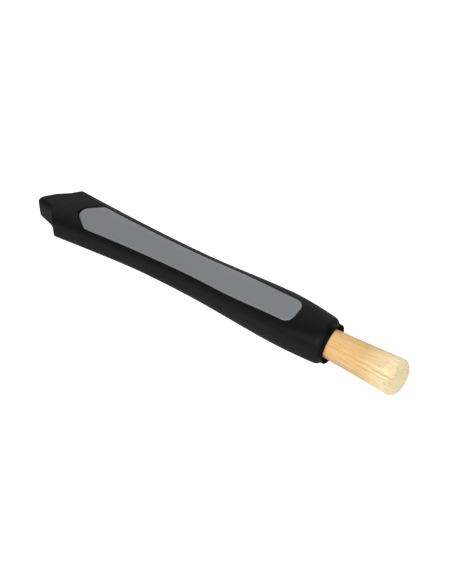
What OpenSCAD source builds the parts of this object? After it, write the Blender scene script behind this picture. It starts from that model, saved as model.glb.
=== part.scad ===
// Lens cleaning pen: a waisted handle with a soft inlay, a retractable hair brush in the nose and
// an angled cleaning tip under a pull-off cap at the tail.
// +X runs along the pen towards the brush, +Z is up, and the pen lies on Z = 0.
// The origin is under the middle of the pen's length.

/* [Handle] */
// Half width of the handle at the tail
tail_hw = 9.6; // [9.2:0.1:10]
// Half width of the handle at the waist
waist_hw = 7.25; // [7:0.05:7.6]
// Half width of the handle at the shoulder
shoulder_hw = 8.55; // [8.3:0.05:9]
// Half width of the handle at the nose
nose_hw = 7.5; // [7.4:0.05:7.8]
// Height of the top face at the shoulder
shoulder_top = 15.4; // [15.2:0.1:16]
// Rise of the top face per millimetre of length
top_slope = 0.05; // [0.045:0.001:0.055]
// Height of the arch under the handle
arch_h = 1.1; // [0.8:0.1:1.3]

/* [Inlay] */
// Depth of the inlay's underside below the middle of the top face
inlay_sink = 0.6; // [0.55:0.05:0.65]
// Height of the inlay above the handle's surface
inlay_proud = 0.12; // [0.05:0.01:0.2]

/* [Brush] */
// Height of the brush axis above the table
axis_z = 8.85; // [8.8:0.05:9]
// Travel of the brush into the handle
brush_travel = 24; // [20:0.5:24]
// Radius of the tuft at its tip
tuft_tip_r = 5.6; // [5.2:0.05:5.6]
// Outer radius of the ferrule
ferrule_r = 4.7; // [4.6:0.05:4.75]

/* [Cap and tip] */
// Wall of the cap around the cleaning tip
cap_wall = 1.4; // [1.2:0.1:1.5]
// Drop of the cap's far facet per millimetre across it
facet_drop = 0.125; // [0.1:0.005:0.14]

/* [Hidden] */

$fn = 48;
slack = 0.06;            // gap round a fixed part in its seat
run = 0.08;              // running clearance of a sliding part
ring_n = 36;             // points round one handle section
big = 40;                // longer than any wall that is cut

tail_x = -62;            // where the handle reaches tail_hw
waist_x = -7;            // the waist
shoulder_x = 29.2;       // the shoulder
nose_x = 48.6;           // the handle's nose face
nose_round = 1.7;        // rounding of the nose's outer edge
nose_lift = 1.3;         // rise of the underside from the shoulder to the nose
arch_mid = -16.5;        // middle of the arch under the handle
arch_half = 45.5;        // half the arch's span

mouth_apex_x = -56.9;    // tip of the handle's pointed tail end
mouth_side_x = -50;      // where the pointed end meets the sides
inlay_apex_x = -55.95;   // the inlay's pointed end
inlay_end_x = 35.3;      // the inlay's square end
inlay_round = 3;         // corner rounding at the square end

channel_hw = 4.2;        // half width of the channel that the carriage runs in
channel_floor = 3.3;
channel_tail_x = -46;
channel_nose_x = 14;
cover_x = [-43, -12.5];  // ends of the access cover
cover_t = 0.9;           // thickness of the access cover
cover_seat = inlay_sink + 0.05 + cover_t;
channel_roof = 1.9;      // depth of the channel's roof below the top face
screw_xs = [-40.5, -15]; // the two cover screws
spigot_hw = 6.4;
spigot_z = [2.4, 8.7];
spigot_x = [-60.4, -51];

carriage_x = [14, 38];   // the carriage with the brush out
carriage_z = [4.7, 11.3];
ferrule_x = [37, 47];
tuft_tip_x = 74.15;
slider_x = [18, 30];
track_z = 1.45;          // roof of the recessed track under the handle
stem_hw = 1.3;

// Corners of the cap in plan, from the far corner over the point and the step to the near corner
far_c = [-63.3, 9.6];
point_c = [-74.55, -2.75];
step_c = [-66.1, -5.05];
near_c = [-61.9, -9.5];
cap_corners = [far_c, [-66.2, 6.5], [-70.6, 3.15], [-73.6, -0.5], point_c, step_c, near_c];
cap_corner_r = 0.9;

black = [0.09, 0.09, 0.095];
steel = [0.62, 0.63, 0.65];

function ease(t) = let (c = min(1, max(0, t))) c * c * (3 - 2 * c);
function mix(a, b, t) = a + (b - a) * t;
function nose_t(x) = max(0, (x - shoulder_x) / (nose_x - shoulder_x));

// Half width: a parabola from the tail to the waist, an ease to the shoulder, a parabola to the nose
function half_w(x) = x < waist_x
    ? waist_hw + (tail_hw - waist_hw) * pow((waist_x - x) / (waist_x - tail_x), 2)
    : x < shoulder_x
        ? mix(waist_hw, shoulder_hw, ease((x - waist_x) / (shoulder_x - waist_x)))
        : mix(shoulder_hw, nose_hw, pow(nose_t(x), 2));
function top_z(x) = shoulder_top + top_slope * (x - shoulder_x);
function bottom_z(x) = x < shoulder_x
    ? arch_h * max(0, 1 - pow((x - arch_mid) / arch_half, 2))
    : nose_lift * pow(nose_t(x), 2);
// Depth of the widest level below the top, and the exponents of the upper and lower superellipse
function crown(x) = x < shoulder_x ? 2.4 + 1.2 * ease((x + 60) / 90) : mix(3.6, 7.4, pow(nose_t(x), 1.5));
function power_up(x) = x < shoulder_x ? 4.6 - 0.6 * ease((x + 60) / 90) : mix(4, 2.7, nose_t(x));
function power_down(x) = 2.7 + 1.5 * ease((-22 - x) / 40);
function inset(x) = let (d = x - (nose_x - nose_round))
    d <= 0 ? 0 : nose_round - sqrt(max(0, nose_round * nose_round - d * d));
function signed_pow(v, p) = sign(v) * pow(abs(v), p);

// One closed section of the handle at x, grown outwards by g
function section(x, g = 0) = let (
    hw = half_w(x) + g - inset(x), level = top_z(x) - crown(x),
    up = crown(x) + g - inset(x), down = level - bottom_z(x) + g - inset(x))
    [for (i = [0 : ring_n - 1]) let (
        a = 360 * (i + 0.5) / ring_n, p = 2 / (sin(a) > 0 ? power_up(x) : power_down(x)))
        [x, hw * signed_pow(cos(a), p), level + (sin(a) > 0 ? up : down) * signed_pow(sin(a), p)]];

// Height of the handle's top surface at (x, y)
function deck(x, y) = top_z(x) - crown(x)
    * (1 - pow(1 - pow(min(1, abs(y) / half_w(x)), power_up(x)), 1 / power_up(x)));

// The smaller of a and b, blended where they are less than k apart
function blend_min(a, b, k) = let (h = min(1, max(0, 0.5 + 0.5 * (b - a) / k))) mix(b, a, h) - k * h * (1 - h);

// Half width of the inlay's outline at x: pointed at the tail, square with round corners at the nose
function inlay_hw(x) = let (
    w = half_w(x) - 2.3 - 1.1 * ease((x - 5) / 25),
    q = min(1, max(0, 1 - (x - inlay_apex_x) / 1.35)),
    v = min(1, max(0, (x - inlay_end_x + inlay_round) / inlay_round)))
    blend_min(w, 1.72 + 0.76 * (x - inlay_apex_x), 0.8) * pow(1 - pow(q, 2.6), 1 / 2.6)
        - inlay_round * (1 - sqrt(1 - v * v));

// Two triangles for each quadrilateral
function halves(quads) = [for (q = quads) each [[q[0], q[1], q[2]], [q[0], q[2], q[3]]]];

// A closed skin through rings that all have n points, where point i lies above or below point n - 1 - i
module skin(rings) {
    n = len(rings[0]);
    last = (len(rings) - 1) * n;
    sides = [for (r = [0 : len(rings) - 2], i = [0 : n - 1])
        [r * n + i, r * n + (i + 1) % n, (r + 1) * n + (i + 1) % n, (r + 1) * n + i]];
    ends = [for (i = [0 : n / 2 - 2]) each [
        [n - 1 - i, n - 2 - i, i + 1, i],
        [last + i, last + i + 1, last + n - 2 - i, last + n - 1 - i]]];
    polyhedron([for (r = rings) each r], halves(concat(sides, ends)), convexity = 6);
}

// The handle's outer shape from x0 to the nose face
module handle_form(x0, steps) {
    body_end = nose_x - nose_round;
    skin(concat(
        [for (i = [0 : steps]) section(mix(x0, body_end, i / steps))],
        [for (a = [30 : 30 : 90]) section(body_end + nose_round * sin(a) * 0.999)]));
}

// The stations along the inlay, closer together towards its ends
function inlay_stations(steps) = [for (i = [0 : steps])
    mix(inlay_apex_x, inlay_end_x, (1 - cos(180 * i / steps)) / 2)];

// The inlay: its top follows the handle's crowned top face, its underside is flat
module inlay_slab(cols = 6, steps = 36) {
    skin([for (x = inlay_stations(steps)) let (hw = max(0.15, inlay_hw(x))) concat(
        [for (c = [0 : cols]) let (y = hw * (1 - 2 * c / cols)) [x, y, deck(x, y) + inlay_proud]],
        [for (c = [cols : -1 : 0]) let (y = hw * (1 - 2 * c / cols)) [x, y, top_z(x) - inlay_sink]])]);
}

// The recess for the inlay, with a flat sloping floor
module inlay_seat(steps = 28) {
    xs = inlay_stations(steps);
    floor_z = inlay_sink + 0.05;
    intersection() {
        linear_extrude(big) polygon(concat(
            [[inlay_apex_x - slack, 0]],
            [for (x = xs) if (x > inlay_apex_x) [x + (x >= inlay_end_x ? slack : 0), -inlay_hw(x) - slack]],
            [for (i = [steps : -1 : 1]) let (x = xs[i])
                [x + (x >= inlay_end_x ? slack : 0), inlay_hw(x) + slack]]));
        profile([[-60, top_z(-60) - floor_z], [40, top_z(40) - floor_z], [40, 30], [-60, 30]], 12);
    }
}

// Everything on the tail side of the pointed mouth, moved by d along X
module mouth_side(d = 0) {
    translate([d, 0, -1]) linear_extrude(big) polygon([
        [-90, -big], [mouth_side_x, -big], [mouth_side_x, -9.2], [mouth_apex_x, -1], [mouth_apex_x, 1],
        [mouth_side_x, 9.2], [mouth_side_x, big], [-90, big]]);
}

// A round bar along X from x0 to x1 on the brush axis
module bar(x0, x1, r, r2 = -1) {
    translate([x0, 0, axis_z]) rotate([0, 90, 0])
        cylinder(h = x1 - x0, r1 = r, r2 = r2 < 0 ? r : r2);
}

// A box given by its two ends along X, its half width and its two heights
module block(x, hw, z) {
    translate([x[0], -hw, z[0]]) cube([x[1] - x[0], 2 * hw, z[1] - z[0]]);
}

// A side profile pulled across from -hw to hw
module profile(points, hw) {
    translate([0, hw, 0]) rotate([90, 0, 0]) linear_extrude(2 * hw) polygon(points);
}

// The channel for the carriage, its roof a little below the seat of the access cover
module channel() {
    profile([[channel_tail_x, channel_floor], [channel_nose_x, channel_floor],
        [channel_nose_x, top_z(channel_nose_x) - channel_roof],
        [channel_tail_x, top_z(channel_tail_x) - channel_roof]], channel_hw);
}

// The opening between the channel and the access cover
module core_opening() {
    x = [screw_xs[0] + 2.1, screw_xs[1] - 2.1];
    profile([[x[0], 8], [x[1], 8], [x[1], top_z(x[1]) - 1], [x[0], top_z(x[0]) - 1]], 3.6);
}

module brush_cavity() {
    bar(11, 21, ferrule_r + run);
    bar(20, nose_x - 5, 5.15, 5.9);
    bar(nose_x - 5.05, nose_x + 1, 6.45);
}

module cover_shape(grow, low, high) {
    profile([[cover_x[0] - grow, top_z(cover_x[0]) - high], [cover_x[1] + grow, top_z(cover_x[1]) - high],
        [cover_x[1] + grow, top_z(cover_x[1]) - low], [cover_x[0] - grow, top_z(cover_x[0]) - low]],
        4.6 + grow);
}

module screw_holes(r, low) {
    for (x = screw_xs) translate([x, 0, top_z(x) - low]) cylinder(h = low, r = r);
}

module handle_body() {
    color(black) difference() {
        handle_form(mouth_apex_x - 1, 24);
        mouth_side();
        inlay_seat();
        cover_shape(slack, inlay_sink, cover_seat + slack);
        difference() {
            channel();
            for (x = screw_xs) block([x - 2, x + 2], channel_hw + 1, [top_z(x) - 4.6, 20]);
        }
        core_opening();
        brush_cavity();
        block([spigot_x[0], spigot_x[1] + slack], spigot_hw + slack, [spigot_z[0] - slack, spigot_z[1] + slack]);
        block([spigot_x[1], channel_tail_x + 1], channel_hw, [channel_floor, 9]);
        translate([-48.5, 0, -1]) cylinder(h = 8, r = 0.8);
        block([slider_x[0] - brush_travel - 1.5, slider_x[1] + 2], 4.4, [-2, track_z]);
        block([20 - brush_travel, 27.6], stem_hw + run, [0, channel_floor + 1]);
        block([18 - brush_travel, 30], stem_hw + 0.8, [channel_floor, 6.5]);
        screw_holes(0.75, 5.2);
    }
}

module access_cover() {
    color([0.16, 0.16, 0.17]) difference() {
        cover_shape(0, inlay_sink + 0.1, cover_seat);
        screw_holes(0.9, 3);
        for (x = screw_xs) translate([x, 0, top_z(x) - 1.15]) cylinder(h = 2, r = 1.65);
    }
}

module cover_screws() {
    color(steel) for (x = screw_xs) translate([x, 0, top_z(x)]) difference() {
        union() {
            translate([0, 0, -1.13]) cylinder(h = 0.38, r = 1.5);
            translate([0, 0, -4.8]) cylinder(h = 3.8, r = 0.7);
        }
        for (a = [0, 90]) rotate(a) translate([-0.9, -0.15, -0.92]) cube([1.8, 0.3, 1]);
    }
}

module grip_inlay() {
    color([0.47, 0.49, 0.5]) inlay_slab();
}

module nose_collar() {
    color([0.06, 0.06, 0.065]) difference() {
        union() {
            bar(nose_x - 5, nose_x + 0.5, 6.4);
            bar(nose_x + 0.5, nose_x + 0.95, 6.4, 6.1);
        }
        bar(nose_x - 6, nose_x + 2, 5.9);
        bar(nose_x - 4.2, nose_x - 3.1, 6.15);
    }
}

module nose_seal() {
    color([0.2, 0.2, 0.2]) difference() {
        bar(nose_x - 4.15, nose_x - 3.15, 6.12);
        bar(nose_x - 5, nose_x - 3, 5.85);
    }
}

module brush_ferrule() {
    color([0.3, 0.3, 0.31]) difference() {
        bar(ferrule_x[0], ferrule_x[1], ferrule_r);
        bar(ferrule_x[0] - 1, ferrule_x[1] + 1, ferrule_r - 0.4);
        translate([39, 0, axis_z]) rotate([90, 0, 0]) translate([0, 0, -8]) cylinder(h = 16, r = 0.5);
    }
}

module ferrule_pins() {
    color(steel) for (m = [0, 1]) mirror([0, m, 0]) translate([39, 0, axis_z])
        rotate([-90, 0, 0]) translate([0, 0, 2.8]) cylinder(h = ferrule_r - 2.85, r = 0.48);
}

module brush_tuft() {
    lip = ferrule_x[1];
    hair = [0.92, 0.8, 0.58];
    color(hair) translate([0, 0, axis_z]) rotate([0, 90, 0]) rotate_extrude() polygon(concat(
        [[0, lip - 4], [ferrule_r - 0.45, lip - 4], [ferrule_r - 0.45, lip + 0.1]],
        [for (t = [0.05 : 0.1 : 0.95])
            [mix(ferrule_r - 0.1, tuft_tip_r, sin(90 * t)), mix(lip + 0.2, tuft_tip_x - 2.4, t)]],
        [for (a = [0 : 15 : 90]) [(tuft_tip_r - 1.7) + 1.7 * cos(a), tuft_tip_x - 2.3 + 1.7 * sin(a)]],
        [[0, tuft_tip_x]]));
}

module tuft_plug() {
    color([0.45, 0.36, 0.2]) bar(ferrule_x[1] - 7.4, ferrule_x[1] - 4, ferrule_r - 0.42);
}

module brush_carriage() {
    color([0.22, 0.22, 0.23]) difference() {
        union() {
            intersection() {
                block([carriage_x[0], ferrule_x[0] - 0.05], channel_hw - run, carriage_z);
                bar(carriage_x[0] - 1, ferrule_x[0], ferrule_r);
            }
            bar(ferrule_x[0] - 1.5, carriage_x[1] + 1.3, ferrule_r - 0.43);
            block([20, 29], stem_hw + 0.7, [channel_floor + 0.1, 6]);
        }
        translate([39, 0, axis_z]) rotate([90, 0, 0]) translate([0, 0, -8]) cylinder(h = 16, r = 0.5);
        translate([24.5, 0, 2]) cylinder(h = 4.2, r = 0.7);
        block([15, 27], 1.6, [10.3, 12]);
    }
}

// A leaf that clicks under the handle's roof at each end of the travel
module detent_spring() {
    color(steel) profile([[15.1, 10.32], [26.9, 10.32], [26.9, 10.6], [23.4, 10.6], [21, 11.35],
        [18.6, 10.6], [15.1, 10.6]], 1.5);
}

module thumb_slider() {
    color([0.13, 0.13, 0.14]) difference() {
        union() {
            block([slider_x[0], slider_x[1]], 3.9, [0.35, track_z - run]);
            block([21.5, 27.5], stem_hw, [track_z - 0.2, channel_floor + 0.05]);
        }
        for (x = [slider_x[0] + 1.5 : 1.5 : slider_x[1] - 1]) block([x, x + 0.7], 5, [0, 0.65]);
        translate([24.5, 0, 0]) cylinder(h = 6, r = 0.75);
        translate([24.5, 0, 0]) cylinder(h = 1.25, r = 1.4);
    }
}

module slider_screw() {
    color(steel) translate([24.5, 0, 0]) {
        difference() {
            translate([0, 0, 0.75]) cylinder(h = 0.5, r = 1.3);
            translate([-1, -0.15, 0.7]) cube([2, 0.3, 0.25]);
        }
        translate([0, 0, 1.2]) cylinder(h = 4.6, r = 0.65);
    }
}

module end_plug() {
    color([0.15, 0.15, 0.16]) difference() {
        union() {
            block(spigot_x, spigot_hw, spigot_z);
            block([spigot_x[1] - 0.1, channel_tail_x - 0.1], channel_hw - slack, [channel_floor + slack, 9 - slack]);
        }
        block([spigot_x[0] - 1, -54], 3.2, [4.2, 6]);
        translate([-48.5, 0, -1]) cylinder(h = 8, r = 0.8);
        difference() {
            block([-59, -57.8], 9, [0, 12]);
            block([-60, -57], spigot_hw - 0.5, [spigot_z[0] + 0.5, spigot_z[1] - 0.5]);
        }
    }
}

module plug_pin() {
    color(steel) translate([-48.5, 0, 1.2]) cylinder(h = 5.6, r = 0.76);
}

module spigot_band() {
    color([0.1, 0.1, 0.1]) difference() {
        block([-58.95, -57.85], spigot_hw + 0.03, [spigot_z[0] - 0.03, spigot_z[1] + 0.03]);
        block([-60, -57], spigot_hw - 0.46, [spigot_z[0] + 0.46, spigot_z[1] - 0.46]);
    }
}

module tip_stem() {
    color([0.12, 0.12, 0.12]) {
        block([-62.4, -54.1], 3.1, [4.3, 5.9]);
    }
}

// Plan of the cleaning tip, drawn in by d
module tip_plan(d = 0) {
    polygon([[-60.7 - d, 5.6 - d], [-62.9, 6.2 - d], [-69.6 + 1.2 * d, -1.4], [-69 + d, -2 + d],
        [-64.4, -3.6 + d], [-61.8, -6.2 + d], [-60.7 - d, -6.2 + d]]);
}

module tip_plate() {
    color([0.14, 0.14, 0.15]) difference() {
        translate([0, 0, 4.9]) linear_extrude(1.9) tip_plan();
        block([-62.46, -54], 3.16, [4, 5.96]);
    }
}

module tip_foam() {
    color([0.25, 0.25, 0.25]) difference() {
        translate([0, 0, 3.35]) linear_extrude(1.5) tip_plan();
        block([-62.5, -54], 3.2, [4.1, 6]);
    }
}

module tip_chamois() {
    color([0.07, 0.07, 0.07]) translate([0, 0, 3]) linear_extrude(0.33) tip_plan(0.05);
}

// Plan of the cap: an angled point, with its corners rounded and the whole drawn in by d
module cap_plan(d = 0) {
    offset(r = cap_corner_r) offset(delta = -cap_corner_r - d) polygon([
        [-40, 14], [far_c[0], 14], each cap_corners, [near_c[0], -14], [-40, -14]]);
}

// The far facet: falls away from the ridge that runs from the step to the inlay's point
module facet_cut() {
    ridge_dir = atan2(4.7, 7.4);
    translate([step_c[0], step_c[1], top_z(step_c[0]) + 0.02]) rotate([0, 0, ridge_dir])
        rotate([atan(facet_drop) * -1, -atan(top_slope) * cos(ridge_dir), 0])
            translate([-20, 0, 0]) cube([60, 40, 10]);
}

module cap_shell() {
    color(black) difference() {
        intersection() {
            skin([for (i = [0 : 8]) section(mix(-76, -48, i / 8))]);
            mouth_side(-run);
            translate([0, 0, -1]) linear_extrude(20) cap_plan();
        }
        facet_cut();
        intersection() {
            translate([0, 0, 1.5]) linear_extrude(6.4) cap_plan(cap_wall);
            block([-80, -60.6], 7.4, [0, 12]);
        }
        block([-60.7, -40], spigot_hw + 0.45, [spigot_z[0] - 0.45, spigot_z[1] + 0.45]);
    }
}

// The sleeve inside the cap that grips the spigot
module cap_liner() {
    color([0.2, 0.2, 0.21]) difference() {
        block([-60.5, -51.2], spigot_hw + 0.4, [spigot_z[0] - 0.4, spigot_z[1] + 0.4]);
        block([-61, -50], spigot_hw + run, [spigot_z[0] - run, spigot_z[1] + run]);
        mouth_gap();
    }
}

module mouth_gap() {
    difference() {
        block([-62, -40], 20, [-1, 20]);
        mouth_side(-2 * run);
    }
}

module cap_foam() {
    color([0.3, 0.3, 0.3]) translate([0, 0, 1.52]) linear_extrude(1.1) intersection() {
        translate([-80, -7.4]) square([19, 14.8]);
        offset(delta = -cap_wall - 0.5) polygon([[-60.8, 14], each cap_corners, [-60.8, -14]]);
    }
}

handle_body();
access_cover();
cover_screws();
grip_inlay();
nose_collar();
nose_seal();
brush_ferrule();
ferrule_pins();
brush_tuft();
tuft_plug();
brush_carriage();
detent_spring();
thumb_slider();
slider_screw();
end_plug();
plug_pin();
spigot_band();
tip_stem();
tip_plate();
tip_foam();
tip_chamois();
cap_shell();
cap_liner();
cap_foam();
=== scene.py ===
"""Looks of a lens cleaning pen: soft black handle, grey inlay, hair brush, angled cap and
cleaning tip."""

import math

import bmesh
import bpy
import numpy as np
from mathutils import Matrix, Vector


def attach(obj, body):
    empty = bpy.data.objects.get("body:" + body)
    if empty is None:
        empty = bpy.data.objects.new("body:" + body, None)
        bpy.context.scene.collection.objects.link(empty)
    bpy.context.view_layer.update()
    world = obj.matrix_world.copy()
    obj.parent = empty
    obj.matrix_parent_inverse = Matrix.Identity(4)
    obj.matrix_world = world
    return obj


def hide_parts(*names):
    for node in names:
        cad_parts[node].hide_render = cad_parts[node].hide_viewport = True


bl_info = {
    "name": "Lens Cleaning Pen",
    "version": (1, 0, 0),
    "blender": (4, 5, 0),
    "location": "View3D > Sidebar > Pen",
    "description": "Builds the skins, hair and finishes of a lens cleaning pen",
    "category": "Object",
}

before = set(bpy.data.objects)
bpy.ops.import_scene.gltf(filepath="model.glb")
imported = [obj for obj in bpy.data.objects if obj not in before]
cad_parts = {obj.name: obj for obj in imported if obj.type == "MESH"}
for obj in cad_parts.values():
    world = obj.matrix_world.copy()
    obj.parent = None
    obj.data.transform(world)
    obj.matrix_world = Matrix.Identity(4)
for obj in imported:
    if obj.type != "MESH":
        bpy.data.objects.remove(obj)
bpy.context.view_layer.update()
MM = 0.001

# Stations along the pen, in millimetres
TAIL_X, WAIST_X, SHOULDER_X, NOSE_X = -62.0, -7.0, 29.2, 48.6
NOSE_ROUND = 2.4
MOUTH_APEX_X, MOUTH_SIDE_X, MOUTH_FLAT, MOUTH_SPAN = -56.9, -50.0, 1.0, 8.2
INLAY_APEX_X, INLAY_END_X, INLAY_ROUND = -55.95, 35.3, 3.0
AXIS_Z = 8.85
LIP_X = 46.1
TIP_X = 74.15
CAP_CORNERS = [(-63.3, 9.6), (-66.2, 6.5), (-70.6, 3.15), (-73.6, -0.5), (-74.55, -2.75),
               (-66.1, -5.05), (-61.9, -9.5)]
CAP_GAP = 0.08

# The cap's far facet: a point of its ridge, the ridge's direction, and its fall per millimetre
FACET_POINT, FACET_RIDGE, FACET_SLOPE = (-65.35, -5.2), (7.4, 4.7), 0.105

# The inlay's seat: its depth under the top face, the gap round the inlay, and the cutter's top
SEAT_DEPTH, SEAT_GAP, SEAT_CUT_TOP = 0.63, 0.14, 22.0

# The handle's other openings: (x, radius) pairs about the brush axis, then boxes by their limits
BORE = [(11.0, 4.85), (20.0, 4.85), (20.0, 5.4), (30.0, 5.6), (36.0, 5.95), (43.6, 6.55),
        (43.6, 7.0), (50.0, 7.0)]
HANDLE_BOXES = (
    ("spigot_cutter", (-58.0, -50.94), (-6.46, 6.46), (2.34, 8.76)),
    ("channel_cutter", (-46.0, 14.0), (-4.2, 4.2), (3.3, 11.4)),
    ("track_cutter", (-7.5, 32.0), (-4.4, 4.4), (-2.0, 1.45)),
    ("slot_cutter", (-4.0, 27.6), (-1.38, 1.38), (1.0, 4.5)),
)

# The tuft: how far its longest hairs pass TIP_X, how far the outermost fall short of them, how far
# behind TIP_X the flare is complete, and the power by which it opens
HAIR_PAST_TIP, HAIR_ROUNDING, FLARE_BACK, FLARE_POWER = 2.2, 2.7, 2.4, 1.7

# The tuft's layers: name, seed, range of place between axis and skin, then the hairs' radius, their
# sideways spread and the most they fall short, in millimetres
TUFT_LAYERS = (
    ("tuft_hair_inner", 11, (0.0, 0.93), 0.13, 0.22, 0.9),
    ("tuft_hair_middle", 12, (0.8, 0.985), 0.115, 0.25, 1.0),
    ("tuft_hair_outer", 13, (0.93, 1.0), 0.095, 0.28, 1.2),
)

# The lights: name, place and side in metres, power in watts
LIGHTS = (
    ("key_light", (0.32, -0.47, 0.62), 0.5, 7.5),
    ("rim_light", (-0.45, 0.75, 0.2), 0.4, 2.2),
)

# The camera: its turn and rise round the pen in degrees, its sensor and lens, then the point it is
# set out from and its way to the right, down and back from there, in millimetres
CAMERA_TURN, CAMERA_RISE, SENSOR, LENS = 34.25, 49.09, 36.0, 80.137
CAMERA_POINT, CAMERA_RIGHT, CAMERA_DOWN, CAMERA_BACK = (5.15, 0.0, 15.4), 1.35, 5.784, 440.49

# Light that only the camera sees on the floor and in the sky
CAMERA_GLOW = 0.8


class PenHandleSettings(bpy.types.PropertyGroup):
    """Sizes of the handle and its inlay."""

    tail_half_width: bpy.props.FloatProperty(
        name="Tail half width", description="Half width of the handle at the tail, in mm",
        default=9.6, min=9.2, max=10.0)
    waist_half_width: bpy.props.FloatProperty(
        name="Waist half width", description="Half width of the handle at the waist, in mm",
        default=7.25, min=7.0, max=7.6)
    shoulder_half_width: bpy.props.FloatProperty(
        name="Shoulder half width", description="Half width of the handle at the shoulder, in mm",
        default=8.55, min=8.3, max=9.0)
    nose_half_width: bpy.props.FloatProperty(
        name="Nose half width", description="Half width of the handle at the nose, in mm",
        default=7.5, min=7.4, max=7.8)
    inlay_rise: bpy.props.FloatProperty(
        name="Inlay rise", description="Height of the inlay above the handle, in mm",
        default=0.16, min=0.05, max=0.3)
    black: bpy.props.FloatVectorProperty(
        name="Black", description="Colour of the soft-touch skin", subtype="COLOR",
        size=4, default=(0.006, 0.006, 0.0052, 1.0), min=0.0, max=1.0)
    grey: bpy.props.FloatVectorProperty(
        name="Grey", description="Colour of the inlay", subtype="COLOR",
        size=4, default=(0.19, 0.205, 0.21, 1.0), min=0.0, max=1.0)


class PenBrushSettings(bpy.types.PropertyGroup):
    """The hair tuft."""

    hairs: bpy.props.IntProperty(
        name="Hairs", description="Number of hairs in each of the tuft's layers",
        default=1900, min=200, max=3000)
    root_radius: bpy.props.FloatProperty(
        name="Root radius", description="Radius of the tuft where it leaves the ferrule, in mm",
        default=5.2, min=4.0, max=5.4)
    tip_radius: bpy.props.FloatProperty(
        name="Tip radius", description="Radius of the tuft at its tip, in mm",
        default=6.55, min=5.2, max=6.6)
    hair: bpy.props.FloatVectorProperty(
        name="Hair", description="Colour of the hair near the ferrule", subtype="COLOR",
        size=4, default=(0.84, 0.56, 0.26, 1.0), min=0.0, max=1.0)
    hair_tip: bpy.props.FloatVectorProperty(
        name="Hair tips", description="Colour of the hair at its tips", subtype="COLOR",
        size=4, default=(1.0, 0.87, 0.6, 1.0), min=0.0, max=1.0)


# ---------------------------------------------------------------- shape formulas, in millimetres

def ease(t):
    """Smooth step: 3t^2 - 2t^3 on t held between 0 and 1."""
    c = np.clip(t, 0.0, 1.0)
    return c * c * (3.0 - 2.0 * c)


def nose_t(x):
    """0 up to the shoulder, then rising in a straight line to 1 at the nose face."""
    return np.clip((x - SHOULDER_X) / (NOSE_X - SHOULDER_X), 0.0, 1.2)


def half_width(x):
    """A parabola from tail to waist, an ease from waist to shoulder, a parabola from there to the
    nose."""
    s = bpy.context.scene.pen_handle
    tail = s.waist_half_width + (s.tail_half_width - s.waist_half_width) * (
        (WAIST_X - x) / (WAIST_X - TAIL_X)) ** 2
    middle = s.waist_half_width + (s.shoulder_half_width - s.waist_half_width) * ease(
        (x - WAIST_X) / (SHOULDER_X - WAIST_X))
    nose = s.shoulder_half_width + (s.nose_half_width - s.shoulder_half_width) * nose_t(x) ** 2
    return np.where(x < WAIST_X, tail, np.where(x < SHOULDER_X, middle, nose))


def top_height(x):
    """Height of the middle of the top face: a straight line that rises 0.05 per millimetre."""
    return 15.4 + 0.05 * (x - SHOULDER_X)


def bottom_height(x):
    """Height of the underside's middle: a shallow arch 1.1 high, then a rise of 1.3 at the nose."""
    arch = 1.1 * np.maximum(0.0, 1.0 - ((x + 16.5) / 45.5) ** 2)
    return np.where(x < SHOULDER_X, arch, 1.3 * nose_t(x) ** 2)


def crown(x):
    """Depth of the widest level below the top face."""
    return np.where(x < SHOULDER_X, 2.4 + 1.2 * ease((x + 60.0) / 90.0),
                    3.6 + 3.8 * nose_t(x) ** 1.5)


def power_up(x):
    """Exponent of the superellipse above the widest level."""
    return np.where(x < SHOULDER_X, 4.6 - 0.6 * ease((x + 60.0) / 90.0), 4.0 - 1.3 * nose_t(x))


def power_down(x):
    """Exponent of the superellipse below the widest level."""
    return 2.7 + 1.5 * ease((-22.0 - x) / 40.0)


def section(x, a, inset=0.0):
    """Point of the section at x and angle a: half width times cos(a) and height times sin(a), each
    raised to 2 / exponent, with one exponent above the widest level and another below it."""
    c, s = np.cos(a), np.sin(a)
    p = 2.0 / np.where(s > 0, power_up(x), power_down(x))
    level = top_height(x) - crown(x)
    reach = np.where(s > 0, crown(x), level - bottom_height(x)) - inset
    y = (half_width(x) - inset) * np.sign(c) * np.abs(c) ** p
    z = level + reach * np.sign(s) * np.abs(s) ** p
    return y, z


def deck(x, y):
    """Height of the top surface at (x, y), from the upper superellipse."""
    p = power_up(x)
    t = np.clip(np.abs(y) / half_width(x), 0.0, 1.0)
    return top_height(x) - crown(x) * (1.0 - (1.0 - t ** p) ** (1.0 / p))


def keel(x, y):
    """Height of the underside at (x, y), from the lower superellipse."""
    p = power_down(x)
    level = top_height(x) - crown(x)
    t = np.clip(np.abs(y) / half_width(x), 0.0, 1.0)
    return level - (level - bottom_height(x)) * (1.0 - t ** p) ** (1.0 / p)


def inlay_half_width(x):
    """Half width of the inlay: pointed at the tail, square with round corners at the nose."""
    w = half_width(x) - 2.3 - 1.1 * ease((x - 5.0) / 25.0)
    q = np.clip(1.0 - (x - INLAY_APEX_X) / 1.35, 0.0, 1.0)
    v = np.clip((x - INLAY_END_X + INLAY_ROUND) / INLAY_ROUND, 0.0, 1.0)
    point = blend_min(w, 1.72 + 0.76 * (x - INLAY_APEX_X), 0.8) * (1.0 - q ** 2.6) ** (1.0 / 2.6)
    return point - INLAY_ROUND * (1.0 - np.sqrt(1.0 - v * v))


def blend_min(a, b, k):
    """The smaller of a and b, blended where they are less than k apart."""
    h = np.clip(0.5 + 0.5 * (b - a) / k, 0.0, 1.0)
    return b + (a - b) * h - k * h * (1.0 - h)


def mouth_x(y):
    """The seam between cap and handle: level for MOUTH_FLAT each side of the middle, then straight
    back to the side over MOUTH_SPAN."""
    past = np.maximum(0.0, np.abs(y) - MOUTH_FLAT)
    return MOUTH_APEX_X + past * (MOUTH_SIDE_X - MOUTH_APEX_X) / MOUTH_SPAN


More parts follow.
